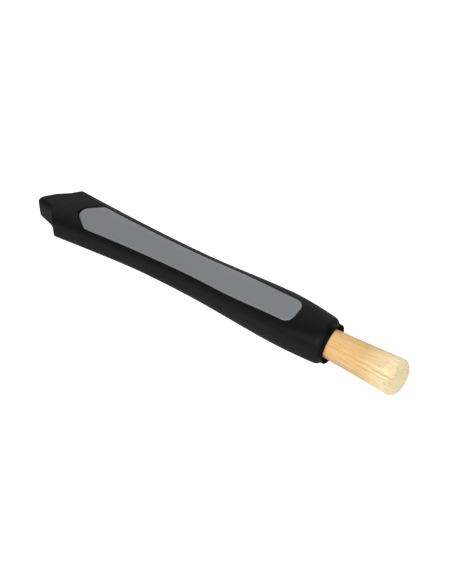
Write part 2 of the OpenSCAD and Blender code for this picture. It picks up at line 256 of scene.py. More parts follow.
def facet(x, y):
    """The cap's far facet: a plane that leans down to the far side of a ridge through the step, and
    dies out towards the mouth."""
    ridge = np.array(FACET_RIDGE) / math.hypot(*FACET_RIDGE)
    across = -(x - FACET_POINT[0]) * ridge[1] + (y - FACET_POINT[1]) * ridge[0]
    return top_height(x) + 0.02 - FACET_SLOPE * across * ease((-51.0 - x) / 7.0)


# ---------------------------------------------------------------- mesh making

def finish_mesh(name, points, faces, body, material, cad=(), smooth=35.0):
    """Makes an object in metres from points in millimetres, shades it smooth below the angle given,
    tells the frame which body it rides on and hides the CAD nodes it stands for."""
    mesh = bpy.data.meshes.new(name)
    mesh.from_pydata((np.asarray(points) * MM).tolist(), [], faces)
    mesh.validate()
    obj = bpy.data.objects.new(name, mesh)
    bpy.context.scene.collection.objects.link(obj)
    shade(obj, smooth)
    obj.data.materials.append(material)
    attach(obj, body)
    if cad:
        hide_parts(*cad)
    return obj


def shade(obj, angle):
    """Shades faces smooth and marks the edges that are sharper than the angle."""
    obj.data.polygons.foreach_set("use_smooth", np.ones(len(obj.data.polygons), dtype=bool))
    obj.data.set_sharp_from_angle(angle=math.radians(angle))
    obj.data.update()


def grid_faces(rows, cols):
    """Quads of a grid of rows that each close on themselves; row r + 1 lies outwards of row r when
    the columns run anticlockwise seen from the last row."""
    r = np.arange(rows - 1)[:, None] * cols
    c = np.arange(cols)[None, :]
    n = (c + 1) % cols
    return np.stack([r + c, r + n, r + cols + n, r + cols + c], axis=-1).reshape(-1, 4).tolist()


def closed_rows(grid, flip=False):
    """Points and faces of rows of points, each row a loop, with a pole closing each end."""
    rows, cols = grid.shape[:2]
    points = np.concatenate([grid.reshape(-1, 3), grid[0].mean(0)[None], grid[-1].mean(0)[None]])
    faces = grid_faces(rows, cols)
    first, last = rows * cols, rows * cols + 1
    end = (rows - 1) * cols
    faces += [[first, (i + 1) % cols, i] for i in range(cols)]
    faces += [[last, end + i, end + (i + 1) % cols] for i in range(cols)]
    if flip:
        faces = [f[::-1] for f in faces]
    return points, faces


def turned_grid(profile, turns):
    """Rows of points from (x, radius) pairs turned round the brush axis."""
    p = np.array(profile, dtype=float)
    a = np.linspace(0.0, 2.0 * math.pi, turns, endpoint=False)
    return np.stack([
        np.repeat(p[:, :1], turns, 1),
        p[:, 1:] * np.cos(a), AXIS_Z + p[:, 1:] * np.sin(a)], axis=-1)


def lathe(profile, turns=96):
    """A ring from a closed profile of (x, radius) pairs. The profile starts at the inner side and
    comes back along the outer side's front, so that the faces look outwards."""
    grid = turned_grid(profile, turns)
    total = len(profile) * turns
    faces = (np.array(grid_faces(len(profile) + 1, turns)) % total).tolist()
    return grid.reshape(-1, 3), faces


def solid_turning(profile, turns=96):
    """A solid from (x, radius) pairs, closed by a pole at each end."""
    return closed_rows(turned_grid(profile, turns))


def rounded_loop(corners, radius, per_corner=10):
    """A closed outline through the corners with each corner turned into an arc of the radius."""
    c = np.array(corners, dtype=float)
    out = []
    for i in range(len(c)):
        a, b, d = c[i - 1], c[i], c[(i + 1) % len(c)]
        u, v = (a - b) / np.linalg.norm(a - b), (d - b) / np.linalg.norm(d - b)
        half = 0.5 * math.acos(float(np.clip(u @ v, -1.0, 1.0)))
        r = radius[i] if isinstance(radius, (list, tuple)) else radius
        back = r / math.tan(half)
        centre = b + (u + v) / np.linalg.norm(u + v) * r / math.sin(half)
        s, e = b + u * back - centre, b + v * back - centre
        a0, a1 = math.atan2(s[1], s[0]), math.atan2(e[1], e[0])
        sweep = (a1 - a0 + math.pi) % (2.0 * math.pi) - math.pi
        t = a0 + sweep * np.linspace(0.0, 1.0, per_corner)
        out.append(centre + r * np.stack([np.cos(t), np.sin(t)], axis=-1))
    return np.concatenate(out)


def even_line(line, count):
    """An open line with points at even steps along its length, both ends kept."""
    length = np.concatenate([[0.0], np.cumsum(np.linalg.norm(np.diff(line, axis=0), axis=1))])
    t = np.linspace(0.0, length[-1], count)
    return np.stack([np.interp(t, length, line[:, k]) for k in range(2)], axis=-1)


def even_loop(loop, count):
    """A closed outline with points at even steps along its length."""
    return even_line(np.concatenate([loop, loop[:1]]), count + 1)[:-1]


def pad_from_outline(loop, centre, low, high, edge, rings=10):
    """A closed slab: rows run from the middle of the underside out to the outline, up the wall and
    back to the middle of the top. low and high give heights from (x, y); near the outline both are
    drawn in along a quarter circle of the edge radius."""
    n = len(loop)
    ahead, behind = np.roll(loop, -1, 0), np.roll(loop, 1, 0)
    along = ahead - behind
    normal = np.stack([along[:, 1], -along[:, 0]], axis=-1)
    normal /= np.linalg.norm(normal, axis=1)[:, None]
    reach = np.maximum(0.3, ((loop - centre) * normal).sum(1))
    edge = np.broadcast_to(edge, (n,))
    arc = np.linspace(0.0, math.pi / 2.0, 7)
    rows = []
    for side, height in ((-1.0, low), (1.0, high)):
        inner = [np.full(n, k) for k in np.linspace(0.02, 1.0, rings, endpoint=False)]
        part = []
        for k in inner:
            depth = 1.0 - k * (1.0 - edge / reach)
            plan = centre + (loop - centre) * (1.0 - depth)[:, None]
            part.append(np.column_stack([plan, height(plan[:, 0], plan[:, 1])]))
        for a in arc:
            inset = edge * (1.0 - math.sin(a))
            plan = centre + (loop - centre) * (1.0 - inset / reach)[:, None]
            drop = edge * (1.0 - math.cos(a))
            part.append(np.column_stack([plan, height(plan[:, 0], plan[:, 1]) - side * drop]))
        rows += part if side < 0 else part[::-1]
    half = rings + len(arc)
    foot, rim = rows[half - 1], rows[half]
    wall = [foot + (rim - foot) * k for k in (0.25, 0.5, 0.75)]
    grid = np.array(rows[:half] + wall + rows[half:])
    return closed_rows(grid)


def box_cutter(name, x, y, z):
    """A plain box from its limits, used only to cut a skin."""
    corners = np.array([[x[i], y[j], z[k]] for i in (0, 1) for j in (0, 1) for k in (0, 1)]) * MM
    faces = [[0, 1, 3, 2], [4, 6, 7, 5], [0, 4, 5, 1], [2, 3, 7, 6], [0, 2, 6, 4], [1, 5, 7, 3]]
    return scratch_object(name, corners.tolist(), faces)


def prism_cutter(name, low, high):
    """A cutter between two loops of points that run anticlockwise seen from above."""
    n = len(low)
    faces = [[i, (i + 1) % n, n + (i + 1) % n, n + i] for i in range(n)]
    faces += [list(range(n))[::-1], list(range(n, 2 * n))]
    return scratch_object(name, (np.concatenate([low, high]) * MM).tolist(), faces)


def scratch_object(name, points, faces):
    """An object that is used as a cutter and removed again."""
    mesh = bpy.data.meshes.new(name)
    mesh.from_pydata(points, [], faces)
    obj = bpy.data.objects.new(name, mesh)
    bpy.context.scene.collection.objects.link(obj)
    return obj


def cut(obj, cutters, angle=35.0):
    """Takes each cutter's space out of the object for good, splits faces of more than four corners
    and shades the result."""
    for cutter in cutters:
        step = obj.modifiers.new("cut", "BOOLEAN")
        step.operation, step.solver, step.object = "DIFFERENCE", "EXACT", cutter
        evaluated = obj.evaluated_get(bpy.context.evaluated_depsgraph_get())
        mesh = bpy.data.meshes.new_from_object(evaluated)
        obj.modifiers.clear()
        old = obj.data
        mesh.name = old.name
        obj.data = mesh
        bpy.data.meshes.remove(old)
        if len(mesh.polygons) < 50:
            raise RuntimeError(f"{obj.name}: the cut with {cutter.name} left nothing")
        bpy.data.objects.remove(cutter)
    work = bmesh.new()
    work.from_mesh(obj.data)
    bmesh.ops.remove_doubles(work, verts=work.verts, dist=5e-7)
    bmesh.ops.dissolve_degenerate(work, edges=work.edges, dist=1e-7)
    bmesh.ops.triangulate(work, faces=[face for face in work.faces if len(face.verts) > 4])
    same = {}
    for face in work.faces:
        same.setdefault(frozenset(face.verts), []).append(face)
    flaps = [face for faces in same.values() if len(faces) > 1 for face in faces]
    bmesh.ops.delete(work, geom=flaps, context="FACES")
    work.to_mesh(obj.data)
    work.free()
    shade(obj, angle)


# ---------------------------------------------------------------- materials

def set_inputs(node, values):
    """Gives the node's inputs, by name or place, their values."""
    for socket, value in dict(values).items():
        node.inputs[socket].default_value = value


def add_node(tree, kind, values=(), **properties):
    """A new shader node with its properties set and its inputs given values."""
    node = tree.nodes.new("ShaderNode" + kind)
    for key, value in properties.items():
        setattr(node, key, value)
    set_inputs(node, values)
    return node


def add_ramp(tree, stops):
    """A colour ramp through stops of (position, colour)."""
    ramp = add_node(tree, "ValToRGB")
    elements = ramp.color_ramp.elements
    for element, (position, colour) in zip(elements, (stops[0], stops[-1])):
        element.position, element.color = position, colour
    for position, colour in stops[1:-1]:
        elements.new(position).color = colour
    return ramp


def join(tree, *wires):
    """Links nodes; each wire is (from node, output, to node, input)."""
    for source, output, sink, socket in wires:
        tree.links.new(source.outputs[output], sink.inputs[socket])


def new_group(name, inputs, outputs):
    """An empty shader node group with float inputs (name, default) and outputs (name, kind)."""
    group = bpy.data.node_groups.new(name, "ShaderNodeTree")
    for label, value in inputs:
        socket = group.interface.new_socket(label, in_out="INPUT", socket_type="NodeSocketFloat")
        socket.default_value = value
    for label, kind in outputs:
        group.interface.new_socket(label, in_out="OUTPUT", socket_type="NodeSocket" + kind)
    return group, group.nodes.new("NodeGroupInput"), group.nodes.new("NodeGroupOutput")


def new_material(name):
    """A material with its node tree and its Principled shader."""
    material = bpy.data.materials.new(name)
    material.use_nodes = True
    return material, material.node_tree, material.node_tree.nodes["Principled BSDF"]


def grain_group():
    """Fine moulded grain: two noises of object coordinates summed, given out as a mask and as a
    bumped normal."""
    if "Moulded grain" in bpy.data.node_groups:
        return bpy.data.node_groups["Moulded grain"]
    group, source, sink = new_group(
        "Moulded grain", [("Scale", 4000.0), ("Strength", 0.2), ("Depth", 0.00003)],
        [("Mask", "Float"), ("Normal", "Vector")])
    where = add_node(group, "TexCoord")
    fine = add_node(group, "TexNoise", {"Detail": 3.0})
    coarse = add_node(group, "TexNoise", {"Detail": 2.0})
    third = add_node(group, "Math", {1: 0.3}, operation="MULTIPLY")
    both = add_node(group, "Math", operation="ADD")
    bump = add_node(group, "Bump")
    join(
        group, (where, "Object", fine, "Vector"), (where, "Object", coarse, "Vector"),
        (source, "Scale", fine, "Scale"), (source, "Scale", third, 0),
        (third, 0, coarse, "Scale"), (fine, "Fac", both, 0), (coarse, "Fac", both, 1),
        (source, "Strength", bump, "Strength"), (source, "Depth", bump, "Distance"),
        (both, 0, bump, "Height"), (coarse, "Fac", sink, "Mask"), (bump, "Normal", sink, "Normal"))
    return group


def handling_group():
    """Traces of handling: broad soft patches of a noise, and rare fine specks, each as a mask."""
    if "Handling traces" in bpy.data.node_groups:
        return bpy.data.node_groups["Handling traces"]
    group, source, sink = new_group(
        "Handling traces", [("Patch scale", 60.0), ("Speck scale", 900.0)],
        [("Patches", "Float"), ("Specks", "Float")])
    where = add_node(group, "TexCoord")
    patch = add_node(group, "TexNoise", {"Detail": 4.0})
    speck = add_node(group, "TexVoronoi")
    dots = add_node(group, "MapRange", {"From Min": 0.10, "From Max": 0.04})
    join(
        group, (where, "Object", patch, "Vector"), (where, "Object", speck, "Vector"),
        (source, "Patch scale", patch, "Scale"), (source, "Speck scale", speck, "Scale"),
        (speck, "Distance", dots, "Value"), (patch, "Fac", sink, "Patches"),
        (dots, "Result", sink, "Specks"))
    return group


def surface(name, dark, light, rough, grain, patch=60.0, speck=0.06, metallic=0.0, specular=0.5,
            sheen=0.0, coat=0.0):
    """A moulded or drawn surface: base colour drifts between dark and light with the handling
    patches, the specks are a little dustier, roughness drifts over its range with the grain's mask,
    and the grain (scale, strength, depth in metres) bumps the normal."""
    if name in bpy.data.materials:
        return bpy.data.materials[name]
    material, tree, shader = new_material(name)
    set_inputs(shader, {"Metallic": metallic, "Specular IOR Level": specular,
                        "Sheen Weight": sheen, "Coat Weight": coat})
    traces = add_node(tree, "Group", {"Patch scale": patch}, node_tree=handling_group())
    texture = add_node(tree, "Group", zip(("Scale", "Strength", "Depth"), grain),
                       node_tree=grain_group())
    colour = add_node(tree, "Mix", {"A": (*dark[:3], 1.0), "B": (*light[:3], 1.0)},
                      data_type="RGBA")
    dust = [min(1.0, c * 1.6 + 0.01) for c in light[:3]]
    dusty = add_node(tree, "Mix", {"B": (*dust, 1.0)}, data_type="RGBA")
    amount = add_node(tree, "Math", {1: speck}, operation="MULTIPLY")
    gloss = add_node(tree, "MapRange", {"From Min": 0.3, "From Max": 0.7,
                                        "To Min": rough[0], "To Max": rough[1]})
    join(
        tree, (traces, "Patches", colour, "Factor"), (colour, "Result", dusty, "A"),
        (traces, "Specks", amount, 0), (amount, 0, dusty, "Factor"),
        (dusty, "Result", shader, "Base Color"), (texture, "Mask", gloss, "Value"),
        (gloss, "Result", shader, "Roughness"), (texture, "Normal", shader, "Normal"))
    return material


def soft_black():
    """Soft-touch black of the handle and cap."""
    c = bpy.context.scene.pen_handle.black
    return surface("Soft black", [v * 0.8 for v in c[:3]], [v * 1.25 for v in c[:3]], (0.5, 0.62),
                   (5200.0, 0.25, 0.00002), speck=0.2, specular=0.1)


def inlay_grey():
    """Matt grey of the inlay, with a fine grain."""
    c = bpy.context.scene.pen_handle.grey
    return surface("Inlay grey", [v * 0.95 for v in c[:3]], [v * 1.05 for v in c[:3]], (0.45, 0.6),
                   (6500.0, 0.35, 0.00003), speck=0.12)


def inner_plastic():
    """Plain moulded plastic inside the pen."""
    return surface("Inner plastic", (0.018, 0.018, 0.019), (0.032, 0.032, 0.034), (0.38, 0.5),
                   (3500.0, 0.2, 0.00003))


def collar_black_and_shade():
    """Satin black of the nose ring: a black ring, with its colour made darker than the handle's
    black as painted shade at the nose.
    """
    return surface("Collar black and painted shade", (0.0015, 0.0015, 0.0016), (0.003, 0.003, 0.0032), (0.42, 0.55),
                   (5000.0, 0.15, 0.00002), specular=0.08)


def slider_black():
    """Satin black of the ribbed slider."""
    return surface("Slider black", (0.012, 0.012, 0.013), (0.02, 0.02, 0.021), (0.35, 0.5),
                   (4200.0, 0.25, 0.00003))


def rubber_black():
    """Dull black rubber of the seal and the spigot's band."""
    return surface("Rubber black", (0.012, 0.012, 0.012), (0.022, 0.022, 0.021), (0.7, 0.85),
                   (3800.0, 0.4, 0.00004), speck=0.3)


def steel():
    """Bright steel of screws, pins and spring."""
    return surface("Steel", (0.52, 0.53, 0.55), (0.64, 0.65, 0.67), (0.22, 0.36),
                   (2600.0, 0.12, 0.00002), metallic=1.0)


def ferrule_dark():
    """Dark half-gloss metal of the ferrule."""
    return surface("Ferrule dark", (0.04, 0.04, 0.043), (0.065, 0.065, 0.07), (0.22, 0.34),
                   (2400.0, 0.1, 0.00002), metallic=0.6, coat=0.2)


def resin():
    """Amber resin that holds the hair in the ferrule."""
    return surface("Resin", (0.22, 0.13, 0.045), (0.34, 0.22, 0.08), (0.12, 0.25),
                   (900.0, 0.2, 0.00006))


def foam():
    """Open-cell foam: a coarse deep grain."""
    return surface("Foam", (0.03, 0.03, 0.032), (0.06, 0.06, 0.063), (0.85, 0.98),
                   (1500.0, 0.9, 0.0002), patch=220.0, speck=0.4, specular=0.2)


def chamois():
    """Short matt nap of the cleaning face."""
    return surface("Chamois", (0.008, 0.008, 0.0085), (0.018, 0.018, 0.019), (0.8, 0.95),
                   (5200.0, 0.8, 0.00008), patch=150.0, speck=0.2, specular=0.25, sheen=0.15)


def hair():
    """Natural hair: colour runs from root to tip along the hair's own length attribute, varies from
    hair to hair, and a few hairs are brown."""
    if "Hair" in bpy.data.materials:
        return bpy.data.materials["Hair"]
    s = bpy.context.scene.pen_brush
    material, tree, shader = new_material("Hair")
    set_inputs(shader, {"Roughness": 0.5, "Specular IOR Level": 0.3})
    strand = add_node(tree, "Attribute", attribute_name="strand")
    parts = add_node(tree, "SeparateXYZ")
    middle = [0.95 * (a * 0.9 + b * 0.1) for a, b in zip(s.hair, s.hair_tip)]
    length = add_ramp(tree, [(0.0, s.hair), (0.62, middle), (1.0, s.hair_tip)])
    variety = add_ramp(tree, [
        (0.0, (0.22, 0.12, 0.05, 1.0)), (0.006, (0.32, 0.2, 0.1, 1.0)),
        (0.014, (0.9, 0.88, 0.83, 1.0)), (1.0, (1.0, 1.0, 1.0, 1.0))])
    mixed = add_node(tree, "Mix", {"Factor": 1.0}, data_type="RGBA", blend_type="MULTIPLY")
    join(
        tree, (strand, "Vector", parts, "Vector"), (parts, "X", length, "Fac"),
        (parts, "Y", variety, "Fac"), (length, "Color", mixed, "A"),
        (variety, "Color", mixed, "B"), (mixed, "Result", shader, "Base Color"))
    return material


def dress(nodes, material):
    """Gives CAD nodes that stay visible their finish."""
    for name in nodes:
        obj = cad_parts[name]
        obj.data.materials.clear()
        obj.data.materials.append(material)


# ---------------------------------------------------------------- operators

class PEN_OT_handle(bpy.types.Operator):
    """Build the waisted handle with its inlay seat, nose bore, spigot pocket and slider track"""

    bl_idname = "pen.handle"
    bl_label = "Handle"

    def execute(self, context):
        around, along, tail_z = 120, 210, 8.0
        a = (np.arange(around) + 0.5) / around * 2.0 * math.pi
        end = NOSE_X - NOSE_ROUND
        t = np.linspace(0.0, 1.0, along)
        start = np.full(around, -52.0)
        for _ in range(12):
            start = mouth_x(section(start, a)[0])
        x = start[None, :] + (end - start[None, :]) * t[:, None]
        y, z = section(x, a[None, :])
        side = np.stack([x, y, z], axis=-1)
        tail = []
        for k in np.linspace(0.06, 1.0, 14, endpoint=False):
            ty = side[0][:, 1] * k
            tz = tail_z + (side[0][:, 2] - tail_z) * k
            tail.append(np.column_stack([mouth_x(ty), ty, tz]))
        nose = []
        for b in np.linspace(0.0, math.pi / 2.0, 9)[1:]:
            nx = np.full(around, end + NOSE_ROUND * math.sin(b))
            ny, nz = section(nx, a, NOSE_ROUND * (1.0 - math.cos(b)))
            nose.append(np.column_stack([nx, ny, nz]))
        flat = nose[-1]
        face = []
        for k in (0.75, 0.5, 0.25):
            face.append(np.column_stack([
                flat[:, 0], flat[:, 1] * k, AXIS_Z + (flat[:, 2] - AXIS_Z) * k]))
        grid = np.concatenate([np.array(tail), side, np.array(nose), np.array(face)])
        points, faces = closed_rows(grid, flip=True)
        obj = finish_mesh("handle_skin", points, faces, "handle", soft_black(),
                          cad=["handle_body"])
        cut(obj, self.cutters())
        return {"FINISHED"}

    def cutters(self):
        """The inlay seat follows the inlay's outline and a plane under the top face; the others are
        a turned bore and boxes."""
        x = INLAY_APEX_X + (INLAY_END_X - INLAY_APEX_X) * (
            1.0 - np.cos(np.linspace(0.0, math.pi, 120))) / 2.0
        w = inlay_half_width(x) + SEAT_GAP
        upper, lower = np.column_stack([x, w]), np.column_stack([x, -w])[::-1]
        upper[-1, 0] += SEAT_GAP
        lower[0, 0] += SEAT_GAP
        apex = [[INLAY_APEX_X - SEAT_GAP, 0.0]]
        loop = np.concatenate([apex, lower[:-1][::-1], upper[::-1][:-1]])
        seat = prism_cutter(
            "seat_cutter", np.column_stack([loop, top_height(loop[:, 0]) - SEAT_DEPTH]),
            np.column_stack([loop, np.full(len(loop), SEAT_CUT_TOP)]))
        points, faces = solid_turning(BORE)
        bore = scratch_object("bore_cutter", (points * MM).tolist(), faces)
        return [seat, bore, *(box_cutter(*box) for box in HANDLE_BOXES)]


class PEN_OT_inlay(bpy.types.Operator):
    """Build the grey inlay that follows the crowned top face, with a rounded rim"""

    bl_idname = "pen.inlay"
    bl_label = "Inlay"

    def execute(self, context):
        rise = context.scene.pen_handle.inlay_rise
        along, across, rim = 260, 41, 0.42
        s = np.linspace(0.0, 1.0, along)
        x = INLAY_APEX_X + (INLAY_END_X - INLAY_APEX_X) * (1.0 - np.cos(math.pi * s)) / 2.0
        w = np.maximum(0.05, inlay_half_width(x))
        slope = np.gradient(w, x)
        lean = 1.0 / np.sqrt(1.0 + slope * slope)
        v = np.sin(np.linspace(-1.0, 1.0, across) * math.pi / 2.0)
        y = w[:, None] * v[None, :]
        xx = np.repeat(x[:, None], across, 1)
        edge = np.minimum((w[:, None] - np.abs(y)) * lean[:, None], INLAY_END_X - xx)
        drop = rim - np.sqrt(np.maximum(0.0, rim ** 2 - np.maximum(0.0, rim - edge) ** 2))
        top = np.stack([xx, y, deck(xx, y) + rise - drop], axis=-1)
        base = np.stack([xx, y, np.repeat(top_height(x)[:, None] - 0.6, across, 1)], axis=-1)
        loops = np.concatenate([top[:, ::-1], base], axis=1)
        points, faces = closed_rows(loops)
        finish_mesh("inlay_pad", points, faces, "handle", inlay_grey(),
                    cad=["grip_inlay"], smooth=50.0)
        return {"FINISHED"}


class PEN_OT_cap(bpy.types.Operator):
    """Build the angled cap with its step, facet, pointed mouth and pocket"""

    bl_idname = "pen.cap"
    bl_label = "Cap"

    def execute(self, context):
        loop, edge = self.outline()

        def high(x, y):
            """The lower of the crowned top face and the facet, blended over half a millimetre."""
            return blend_min(deck(x, y), facet(x, y), 0.5)

        points, faces = pad_from_outline(loop, np.array([-62.0, 0.6]), keel, high, edge, rings=22)
        obj = finish_mesh("cap_skin", points, faces, "cap", soft_black(),
                          cad=["cap_shell"])
        cut(obj, [box_cutter("pocket_cutter", (-60.7, -40.0), (-6.85, 6.85), (1.95, 9.15)),
                  self.front_pocket()])
        return {"FINISHED"}

    def outline(self):
        """The cap's plan as one anticlockwise loop, and the edge radius at each of its points."""
        far, near = CAP_CORNERS[0], CAP_CORNERS[-1]
        side_end = 0.0
        for _ in range(20):
            x_side = mouth_x(side_end) - CAP_GAP
            side_end = float(half_width(np.array(x_side))) - 0.02
        ys = np.linspace(-side_end, side_end, 71)
        mouth = np.column_stack([mouth_x(ys) - CAP_GAP, ys])
        xs_far = np.linspace(mouth[-1, 0], far[0] + 0.9, 24)[1:]
        far_side = np.column_stack([xs_far, half_width(xs_far) - 0.02])
        xs_near = np.linspace(near[0] + 0.7, mouth[0, 0], 20)[:-1]
        near_side = np.column_stack([xs_near, -half_width(xs_near) + 0.02])
        front = rounded_loop(
            [(near[0] + 3.0, -float(half_width(near[0] + 3.0))),
             (near[0], -float(half_width(near[0])) + 0.02), *CAP_CORNERS[1:-1][::-1],
             (far[0], float(half_width(far[0])) - 0.02),
             (far[0] + 4.0, float(half_width(far[0] + 4.0)))],
            [0.01, 0.7, 0.5, 0.9, 1.5, 3.0, 1.5, 0.9, 0.01], 9)
        front = front[9:-9][::-1]
        walls = even_line(front, 110)
        loop = np.concatenate([mouth, far_side, walls, near_side])
        soft = ease((-1.0 - walls[:, 1]) / 2.0) * ease((-66.0 - walls[:, 0]) / 2.0)
        edge = np.concatenate([
            np.full(len(mouth), 0.12), np.full(len(far_side), 0.03), 0.5 + 1.4 * soft,
            np.full(len(near_side), 0.03)])
        kernel = np.ones(5) / 5.0
        smooth = np.convolve(np.concatenate([edge[-2:], edge, edge[:2]]), kernel, "valid")
        return loop, smooth

    def front_pocket(self):
        """The space round the cleaning tip: the cap's plan drawn in by its wall, as a straight
        prism."""
        loop = np.array([(-60.6, 7.4), (-63.4, 7.4), (-71.6, -0.8), (-71.8, -1.9), (-65.4, -3.7),
                         (-62.2, -7.0), (-61.8, -7.4), (-60.6, -7.4)])
        floor, roof = np.full(len(loop), 1.5), np.full(len(loop), 7.9)
        return prism_cutter(
            "front_cutter", np.column_stack([loop, floor]), np.column_stack([loop, roof]))


class PEN_OT_nose(bpy.types.Operator):
    """Build the nose ring, its seal and the ferrule with its rolled lip"""

    bl_idname = "pen.nose"
    bl_label = "Nose ring, seal and ferrule"

    def execute(self, context):
        b = np.linspace(0.0, math.pi, 13)
        lip = [(NOSE_X + 0.7 + 0.25 * math.sin(t), 6.99 + 0.24 * math.cos(t)) for t in b]
        profile = [(NOSE_X - 4.9, 6.75), (NOSE_X - 4.9, 6.97), (NOSE_X - 1.5, 6.97),
                   (NOSE_X - 1.4, 7.23)] + lip
        points, faces = lathe(profile)
        finish_mesh("nose_ring", points, faces, "handle",
                    collar_black_and_shade(), cad=["nose_collar"], smooth=40.0)
        seal = [(44.5, 6.6), (44.5, 6.74), (45.4, 6.74), (45.4, 6.6), (45.1, 6.5), (44.8, 6.5)]
        points, faces = lathe(seal)
        finish_mesh("seal_ring", points, faces, "handle",
                    rubber_black(), cad=["nose_seal"], smooth=40.0)
        roll = [(LIP_X - 0.22 + 0.22 * math.sin(t), 4.52 + 0.2 * math.cos(t)) for t in b]
        groove = [(37.0, 4.3), (37.0, 4.7), (41.0, 4.7), (41.3, 4.55), (41.9, 4.55), (42.2, 4.7),
                  (43.0, 4.7), (43.3, 4.55), (43.9, 4.55), (44.2, 4.7)]
        points, faces = lathe(groove + roll + [(LIP_X - 0.3, 4.3)])
        finish_mesh("ferrule_tube", points, faces, "brush",
                    ferrule_dark(), cad=["brush_ferrule"], smooth=40.0)
        return {"FINISHED"}


def tuft_length(x):
    """0 at the ferrule's lip, rising in a straight line to 1 where the flare is complete."""
    return np.clip((x - LIP_X) / (TIP_X - FLARE_BACK - LIP_X), 0.0, 1.0)


def tuft_radius(u, inset):
    """The root radius less the inset, plus the tip radius's growth times u to the flare power."""
    s = bpy.context.scene.pen_brush
    return s.root_radius - inset + (s.tip_radius - s.root_radius) * u ** FLARE_POWER


def strands(count, seed, shells, thickness, root_x, spread, reach):
    """Hairs as tapered three-sided tubes. Each hair starts on a disc at root_x and follows a radius
    that opens late along its length, with a slow sideways wander; shells gives the range of its
    place between axis and skin. Returns points, faces and each point's (length, tint, 0)."""
    rng = np.random.default_rng(seed)
    steps, sides = 9, 3
    t = np.linspace(0.0, 1.0, steps)[None, :]
    place = np.sqrt(rng.uniform(shells[0] ** 2, shells[1] ** 2, count))[:, None]
    angle = rng.uniform(0.0, 2.0 * math.pi, count)[:, None]
    short = reach * rng.random(count)[:, None] ** 2.2
    end_x = TIP_X + HAIR_PAST_TIP - short - HAIR_ROUNDING * place ** 5
    x = root_x + (end_x - root_x) * t
    u = tuft_length(x)
    inside = np.clip((LIP_X + 1.2 - x) / 1.2, 0.0, 1.0)
    radius = place * (tuft_radius(u, 0.05) - 0.55 * inside)
    lean = spread * rng.normal(size=(count, 1)) * u ** 2
    swing = 0.10 * rng.normal(size=(count, 1))
    wave = swing * np.sin(3.0 * u * math.pi + 6.0 * rng.random((count, 1)))
    turn = angle + (lean + wave * u) / np.maximum(radius, 0.8)
    out = np.clip(0.05 * rng.normal(size=(count, 1)), -0.1, 0.08) * u ** 1.5
    y, z = (radius + out) * np.cos(turn), (radius + out) * np.sin(turn)
    thick = thickness * (1.0 - 0.42 * np.clip((t - 0.72) / 0.28, 0.0, 1.0))
    b = np.arange(sides) * 2.0 * math.pi / sides
    px = np.repeat(x[:, :, None], sides, 2)
    py = y[:, :, None] + thick[:, :, None] * np.cos(b)
    pz = AXIS_Z + z[:, :, None] + thick[:, :, None] * np.sin(b)
    points = np.stack([px, py, pz], axis=-1).reshape(-1, 3)
    base = (np.arange(count) * steps * sides)[:, None, None]
    row = (np.arange(steps - 1) * sides)[None, :, None]
    c = np.arange(sides)[None, None, :]
    n = (c + 1) % sides
    quads = np.stack([base + row + c, base + row + sides + c, base + row + sides + n,
                      base + row + n], axis=-1).reshape(-1, 4)[:, ::-1]
    last = base[:, 0] + (steps - 1) * sides
    caps = np.concatenate([base[:, 0] + np.array([[2, 1, 0]]), last + np.array([[0, 1, 2]])])
    faces = quads.tolist() + caps.tolist()
    tint = np.repeat(rng.random(count), steps * sides)
    length = np.repeat(np.broadcast_to(u, (count, steps))[:, :, None], sides, 2).reshape(-1)
    strand = np.column_stack([length, tint, np.zeros(len(tint))])
    return points, faces, strand


def add_strand(obj, strand):
    """Stores length along the hair and tint on the points."""
    data = obj.data.attributes.new("strand", "FLOAT_VECTOR", "POINT")
    data.data.foreach_set("vector", strand.astype(np.float32).ravel())


class PEN_OT_tuft(bpy.types.Operator):
    """Build the hair tuft: a core and three layers of single hairs"""

    bl_idname = "pen.tuft"
    bl_label = "Hair tuft"

    def execute(self, context):
        t = np.linspace(0.0, 1.0, 22)
        x = LIP_X - 3.6 + (TIP_X + 0.1 - LIP_X + 3.6) * t
        u = tuft_length(x)
        r = 0.9 * tuft_radius(u, 0.3)
        r[-3:] *= (0.98, 0.92, 0.75)
        points, faces = solid_turning(list(zip(x, r)), turns=72)
        core = finish_mesh("tuft_core", points, faces, "brush", hair(), cad=["brush_tuft"])
        core_u = np.concatenate([np.repeat(u, 72), [0.0, 1.0]])
        tint = 0.25 + 0.5 * np.random.default_rng(5).random(len(core_u))
        add_strand(core, np.column_stack([core_u, tint, core_u * 0.0]))
        hairs = context.scene.pen_brush.hairs
        for name, seed, shells, thick, spread, reach in TUFT_LAYERS:
            points, faces, strand = strands(hairs, seed, shells, thick, LIP_X - 3.0, spread, reach)
            piece = finish_mesh(name, points, faces, "brush", hair(), cad=["brush_tuft"],
                                smooth=180.0)
            add_strand(piece, strand)
        return {"FINISHED"}


